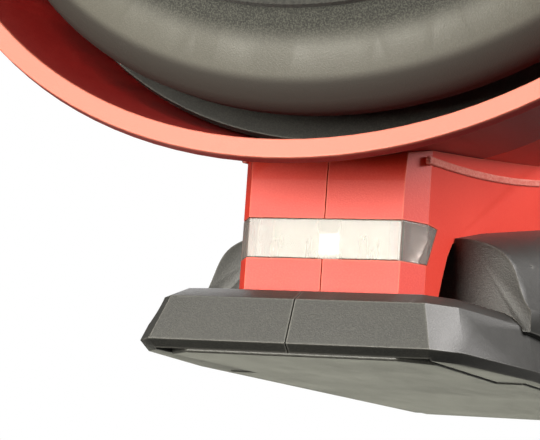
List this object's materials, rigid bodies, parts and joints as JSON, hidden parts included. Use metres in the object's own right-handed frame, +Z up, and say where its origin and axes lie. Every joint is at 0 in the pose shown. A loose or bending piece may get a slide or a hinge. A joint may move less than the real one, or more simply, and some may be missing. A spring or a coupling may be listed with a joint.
{
  "type": "orbital sander",
  "caption": "Battery orbital sander standing on its battery foot, round pad in a wide flared shroud, rear loop handle with trigger, lamp below the pad.",
  "frame": {"origin": "centre of the foot's underside, which is the underside of the battery pack the machine stands on", "axes": "+Z up, -Y towards the pad side, +X the right-hand side as seen by someone facing the pad"},
  "size_m": [0.1788, 0.2046, 0.2055],
  "materials": {
    "red_plastic": "satin moulded",
    "shroud_red": "fine textured",
    "black_plastic": "fine textured",
    "pack_plastic": "satin moulded",
    "rubber": "matt",
    "pad_foam": "fine grained",
    "hook_fabric": "short hooks",
    "clear": "clear moulded",
    "steel": "ground",
    "screw_steel": "blackened",
    "aluminium": "die cast",
    "magnet": "nickel plated",
    "copper": "enamelled",
    "board": "lacquered",
    "lead_black": "insulation",
    "cell_wrap": "shrink wrap",
    "nickel": "plated"
  },
  "bodies": {
    "machine": {"shroud": "shroud_red", "dust_port": "black_plastic", "shroud_baffle": "black_plastic", "pad_brake_ring": "rubber", "front_bearing": "steel", "rear_bearing": "steel", "stator": "steel", "stator_coils": "copper", "motor_plate": "aluminium", "motor_can": "aluminium", "plate_screws": "screw_steel", "rear_bearing_seat": "black_plastic", "housing_left": "red_plastic", "housing_right": "red_plastic", "case_screws": "screw_steel", "grip_sleeve": "rubber", "trigger_spring": "steel", "switch": "black_plastic", "lock_spring": "steel", "dial_axle": "steel", "lens": "clear", "lamp_board": "board", "lamp": "clear", "foot_left": "black_plastic", "foot_right": "black_plastic", "foot_screws": "screw_steel", "motor_leads": "lead_black", "battery_leads": "lead_black", "switch_leads": "lead_black", "controller_board": "board", "transistors": "black_plastic", "heat_sink": "aluminium", "terminal_block": "pack_plastic", "terminal_blades": "nickel"},
    "rotor": {"motor_shaft": "steel", "fan": "black_plastic", "rotor_core": "steel", "rotor_magnets": "magnet", "eccentric": "steel", "pad_bearing": "steel"},
    "pad": {"backing_pad": "pad_foam", "hook_face": "hook_fabric", "pad_hub": "aluminium", "hub_screws": "screw_steel", "pad_spindle": "steel", "pad_bolt": "screw_steel", "pad_washer": "steel"},
    "trigger": {"trigger": "black_plastic"},
    "lock_button": {"lock_button": "black_plastic"},
    "speed_dial": {"speed_dial": "black_plastic"},
    "pack": {"pack_base": "pack_plastic", "pack_cover": "pack_plastic", "battery_cells": "cell_wrap", "cell_links": "nickel", "pack_contacts": "nickel", "button_spring_left": "steel", "button_spring_right": "steel"},
    "release_left": {"release_button_left": "rubber"},
    "release_right": {"release_button_right": "rubber"}
  },
  "joints": [
    {"name": "rotor_spin", "type": "hinge", "parent": "machine", "child": "rotor", "pos_m": [0, -0.08, 0.1189], "axis": [0, -0.969, 0.247], "continuous": true},
    {"name": "pad_spin", "type": "hinge", "parent": "rotor", "child": "pad", "pos_m": [0, -0.07938, 0.12132], "axis": [0, -0.969, 0.247], "continuous": true},
    {"name": "trigger_slide", "type": "slide", "parent": "machine", "child": "trigger", "axis": [0, 1, 0], "range_m": [0, 0.0042], "stiffness_N_per_m": 900, "springref_m": -0.004, "deforming": ["trigger_spring"]},
    {"name": "lock_slide", "type": "slide", "parent": "machine", "child": "lock_button", "axis": [1, 0, 0], "range_m": [0, 0.0025], "stiffness_N_per_m": 700, "springref_m": -0.003, "deforming": ["lock_spring"]},
    {"name": "dial_turn", "type": "hinge", "parent": "machine", "child": "speed_dial", "pos_m": [0, 0.052, 0.1528], "axis": [1, 0, 0], "range_deg": [0, 270]},
    {"name": "pack_slide", "type": "slide", "parent": "machine", "child": "pack", "axis": [0, 1, 0], "range_m": [0, 0.14]},
    {"name": "release_left_press", "type": "slide", "parent": "pack", "child": "release_left", "axis": [1, 0, 0], "range_m": [0, 0.0018], "stiffness_N_per_m": 900, "springref_m": -0.003, "deforming": ["button_spring_left"]},
    {"name": "release_right_press", "type": "slide", "parent": "pack", "child": "release_right", "axis": [-1, 0, 0], "range_m": [0, 0.0018], "stiffness_N_per_m": 900, "springref_m": -0.003, "deforming": ["button_spring_right"]}
  ]
}
